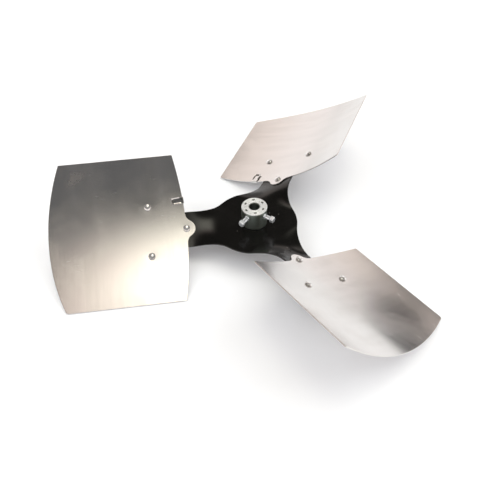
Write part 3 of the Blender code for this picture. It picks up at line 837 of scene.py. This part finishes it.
def clip_path():
    """The middle line of the folded strip, from its end on top of the blade round to the one below.

    The line's heading is the running sum of its bends, and its place the running sum of steps along it. Half
    of it runs from the back up, over and out to the flared lip, and the other half is its mirror image.
    """
    bend_radius = CLIP_WALL / 2
    rise = SHEET / 2 + GAP + CLIP_WALL / 2 - bend_radius
    leg = CLIP_LEG - bend_radius - CLIP_LIP
    bends = [(rise, 0), (bend_radius * math.pi / 2, -1 / bend_radius), (leg, 0),
             (CLIP_FLARE_RADIUS * CLIP_FLARE, 1 / CLIP_FLARE_RADIUS), (CLIP_LIP, 0)]
    length = sum(part for part, _ in bends)
    along = np.linspace(0, length, CLIP_STEPS)
    ends = np.cumsum([part for part, _ in bends])
    curve = np.array([turn for _, turn in bends])[np.searchsorted(ends, along).clip(max=len(bends) - 1)]
    step = along[1]
    heading = math.pi / 2 + np.cumsum(curve) * step
    x = np.cumsum(np.cos(heading)) * step - GAP - CLIP_WALL / 2
    z = np.cumsum(np.sin(heading)) * step
    return along, x, z, heading


def clip_grids(y, bearing):
    """A clip bent along its path: flat places across the strip and along it, with height along the normal."""
    along, path_x, path_z, heading = clip_path()
    length = along[-1]
    lean = math.asin(y / ROOT_EDGE_RADIUS)
    root_x = ROOT_EDGE_X + ROOT_EDGE_RADIUS * (1 - math.cos(lean))
    slope = y / ROLL_RADIUS - PITCH
    foot = rolled(root_x, y, GAP + SHEET / 2)
    knots = np.concatenate([np.linspace(*stretch) for stretch in CLIP_KNOTS])

    def placed(depth, height):
        """The strip's points at a depth inwards and a height, where one leg mirrors the other."""
        share = np.concatenate([-knots[:0:-1], knots])[:, None]
        run = share * (length - depth)
        across = np.linspace(-1, 1, CLIP_COLUMNS + 1)[None, :] * (CLIP_WIDTH / 2 - depth)
        curl = np.clip(1 - (CLIP_WIDTH / 2 - np.abs(across)) / CLIP_SIDE_WIDTH, 0, 1) ** 2 * CLIP_SIDE_RISE
        side = np.sign(run + WELD)
        place = np.interp(np.abs(run), along, path_x)
        lift = np.interp(np.abs(run), along, path_z)
        angle = np.interp(np.abs(run), along, heading)
        off = height - CLIP_WALL / 2 + curl * (np.abs(run) > length / 3)
        local_x = place - off * np.sin(angle)
        local_z = side * (lift + off * np.cos(angle))
        local_x, across, local_z = np.broadcast_arrays(local_x, across, local_z)
        x = foot[0] + local_x * math.cos(lean) + across * math.sin(lean)
        level = -local_x * math.sin(lean) + across * math.cos(lean)
        return np.stack([
            x,
            foot[1] + level * math.cos(slope) - local_z * math.sin(slope),
            foot[2] + level * math.sin(slope) + local_z * math.cos(slope),
        ], -1)

    layers = [placed(depth, height) for depth, height in zip(*rounded_edge(CLIP_WALL, CLIP_EDGE_RADIUS))]
    rim = np.stack([border(layer) for layer in layers])
    return [about_bore(grid, bearing) for grid in (layers[0], layers[-1], rim)]


def spring_steel(marks):
    """Tempered spring steel: bright and smooth, and paler where it is handled."""
    material, tree, shader, place = smudged_metal("clip_spring_steel", marks, 0.003, (0.68, 0.67, 0.66),
                                                  (0.80, 0.79, 0.78), (0.09, 0.15))
    embossed(tree, shader, noise(tree, place, 900.0), 0.1, 0.00004)
    return material


clip_steel = spring_steel(handling)
for i, (arm, y) in enumerate(CLIP_PLACES, 1):
    clip_mesh = welded(f"folded_clip_{i}", clip_grids(y, ARM_BEARINGS[arm - 1]))
    fitted(clip_mesh, clip_steel, f"balance_clip_{i}")

# The studio. A plain pale floor under the fan, a white room that is dark behind the camera, a box light
# overhead and four soft lights all round. The camera is at the photograph's viewing angle.
FLOOR_HALF = 6.0
FLOOR_DROP = 0.0002
CAMERA_FOCAL_PIXELS = 661.016
PICTURE_PIXELS = 500
SENSOR_WIDTH = 36
CAMERA_DISTANCE = 0.830953
CAMERA_ELEVATION = 0.8173
CAMERA_ROLL = -0.0127
CAMERA_ASIDE = -0.005997
CAMERA_RAISE = -0.035719
CAMERA_TURN = math.radians(7.5487)
SHADE = (0.08, 0.075, 0.07)
BLACK = (0.03, 0.03, 0.03)
WALL_FOOT = (1.16, 1.10, 1.08)
WALL_HEAD = (1.06, 0.94, 0.87)
WALL_FADE = (0.10, 0.44)
WALL_TOP = (0.46, 0.56)
BOX_LEFT = (-0.245, 0.06)
BOX_RIGHT = (0.42, 0.20)
BOX_NEAR = (-0.48, 0.10)
BOX_FAR = (0.57, 0.30)
BOX_FOOT = (0.5, 0.6)
BOX_LEAN = 0.1
BOX_TINTS = ((3.2, 2.62, 2.42), (2.9, 2.80, 2.40))
BOX_TINT_CHANGE = (-0.20, 0.0)
UPRIGHT_EDGES = (((51.2, 0), (55.2, 26)), ((49.5, 26), (34.0, 0)))
UPRIGHT_SOFTNESS = 0.7
UPRIGHT_PATCH = (46, 11, 21, 29)
CEILING_SPOT = (-92, 66.5, 2, 5)
WALL_PATCHES = ((155, 42, 12, 26, SHADE), (14, 42, 12, 26, SHADE), (-100, 54, 22, 38, (0.13, 0.132, 0.135)),
                (76, 12, 8, 15, (0.45, 0.43, 0.42)))
SOFT_LIGHTS = ((180, 42, 18.0), (5, 42, 21.0), (90, 48, 7.0), (-90, 48, 7.0))
LIGHT_SIZE = 1.8
LIGHT_DISTANCE = 2.0


def compass(azimuth, elevation):
    """A direction from its azimuth and elevation in degrees."""
    turn = math.radians(azimuth)
    rise = math.radians(elevation)
    return (math.cos(rise) * math.cos(turn), math.cos(rise) * math.sin(turn), math.sin(rise))


def studio_floor():
    """A flat sheet of pale board, wide enough to reach past the picture, which glows faintly as painted
    light.
    """
    low = cad_box[0].z - FLOOR_DROP
    mesh = bpy.data.meshes.new("studio_floor")
    corners = [(-FLOOR_HALF, -FLOOR_HALF, low), (FLOOR_HALF, -FLOOR_HALF, low),
               (FLOOR_HALF, FLOOR_HALF, low), (-FLOOR_HALF, FLOOR_HALF, low)]
    mesh.from_pydata(corners, [], [(0, 1, 2, 3)])
    material, tree, shader = new_material("studio_board", metallic=0.0)
    tone = noise(tree, node(tree, "TexCoord").outputs["Object"], 3.0)
    tree.links.new(mixed(tree, tone, (0.90, 0.92, 0.95), (0.92, 0.94, 0.97)), shader.inputs["Base Color"])
    shader.inputs["Roughness"].default_value = 0.9
    shader.inputs["Specular IOR Level"].default_value = 0.1
    # Painted light: a faint glow of the board lifts its shadows.
    shader.inputs["Emission Color"].default_value = (1, 1, 1, 1)
    shader.inputs["Emission Strength"].default_value = 0.03
    mesh.materials.append(material)
    floor = bpy.data.objects.new("studio_floor", mesh)
    bpy.context.scene.collection.objects.link(floor)


def sky_patch(tree, direction, azimuth, elevation, inner, outer):
    """1 in a round patch of the room and 0 outside it, with a soft border between two angles in degrees."""
    facing = node(tree, "VectorMath", {0: direction, 1: compass(azimuth, elevation)}, operation="DOT_PRODUCT")
    return graded(tree, facing.outputs["Value"], math.cos(math.radians(outer)), math.cos(math.radians(inner)))


def sky_edge(tree, direction, start, end, soft):
    """1 on one side of the great circle through two places of the room, with a border of some degrees."""
    across = Vector(compass(*start)).cross(Vector(compass(*end))).normalized()
    off = node(tree, "VectorMath", {0: direction, 1: across}, operation="DOT_PRODUCT").outputs["Value"]
    return graded(tree, off, -math.sin(math.radians(soft)), math.sin(math.radians(soft)))


def studio_room():
    """The room as light from all round: white low down, dark above that and behind the camera.

    The box light overhead is a rectangle in the direction's X and Y, which fades in from each border and is
    redder at its left. A dark upright stands at the right, a grey patch behind the fan and a small dark spot
    at the box's near border.
    """
    world = bpy.data.worlds.new("studio_room")
    bpy.context.scene.world = world
    world.use_nodes = True
    tree = world.node_tree
    direction = node(tree, "TexCoord").outputs["Generated"]
    parts = node(tree, "SeparateXYZ", {"Vector": direction}).outputs
    wall = mixed(tree, graded(tree, parts["Z"], *WALL_FADE), WALL_FOOT, WALL_HEAD)
    wall = mixed(tree, graded(tree, parts["Z"], *WALL_TOP), wall, SHADE)
    for *patch, tone in WALL_PATCHES:
        wall = mixed(tree, sky_patch(tree, direction, *patch), wall, tone)
    edges = [sky_edge(tree, direction, *ends, UPRIGHT_SOFTNESS) for ends in UPRIGHT_EDGES]
    upright = overlap(tree, *edges, sky_patch(tree, direction, *UPRIGHT_PATCH))
    wall = mixed(tree, upright, wall, BLACK)
    leaning = plus(tree, parts["X"], BOX_LEAN, parts["Y"])
    box = overlap(tree, graded(tree, leaning, *BOX_LEFT), graded(tree, parts["X"], *BOX_RIGHT),
                  graded(tree, parts["Y"], *BOX_NEAR), graded(tree, parts["Y"], *BOX_FAR),
                  graded(tree, parts["Z"], *BOX_FOOT))
    glow = mixed(tree, graded(tree, parts["X"], *BOX_TINT_CHANGE), *BOX_TINTS)
    wall = mixed(tree, box, wall, glow)
    wall = mixed(tree, sky_patch(tree, direction, *CEILING_SPOT), wall, BLACK)
    tree.links.new(wall, tree.nodes["Background"].inputs["Color"])


def soft_light(azimuth, elevation, watts):
    """A square soft light that faces the fan. It doesn't show in anything's gloss."""
    light = bpy.data.lights.new("soft_light", "AREA")
    light.size = LIGHT_SIZE
    light.energy = watts
    lamp = bpy.data.objects.new("soft_light", light)
    bpy.context.scene.collection.objects.link(lamp)
    lamp.visible_glossy = False
    direction = Vector(compass(azimuth, elevation))
    facing = direction.to_track_quat("Z", "Y").to_matrix().to_4x4()
    lamp.matrix_world = Matrix.Translation(LIGHT_DISTANCE * direction) @ facing


def photo_camera():
    """The camera, from its distance, elevation, turn and roll, with its small offsets in its own plane."""
    camera = bpy.data.cameras.new("photo_camera")
    camera.sensor_width = SENSOR_WIDTH
    camera.lens = CAMERA_FOCAL_PIXELS / PICTURE_PIXELS * SENSOR_WIDTH
    camera.clip_start = 0.01
    back = np.array([0, -math.cos(CAMERA_ELEVATION), math.sin(CAMERA_ELEVATION)])
    up = np.array([0, math.sin(CAMERA_ELEVATION), math.cos(CAMERA_ELEVATION)])
    right = np.array([1.0, 0, 0])
    place = Matrix.Identity(4)
    place.col[0][:3] = right
    place.col[1][:3] = up
    place.col[2][:3] = back
    place.col[3][:3] = CAMERA_DISTANCE * back + CAMERA_ASIDE * right + CAMERA_RAISE * up
    eye = bpy.data.objects.new("photo_camera", camera)
    bpy.context.scene.collection.objects.link(eye)
    eye.matrix_world = Matrix.Rotation(-CAMERA_TURN, 4, "Z") @ place @ Matrix.Rotation(CAMERA_ROLL, 4, "Z")
    bpy.context.scene.camera = eye


studio_floor()
studio_room()
for light in SOFT_LIGHTS:
    soft_light(*light)
photo_camera()
bpy.context.scene.view_settings.view_transform = "Standard"
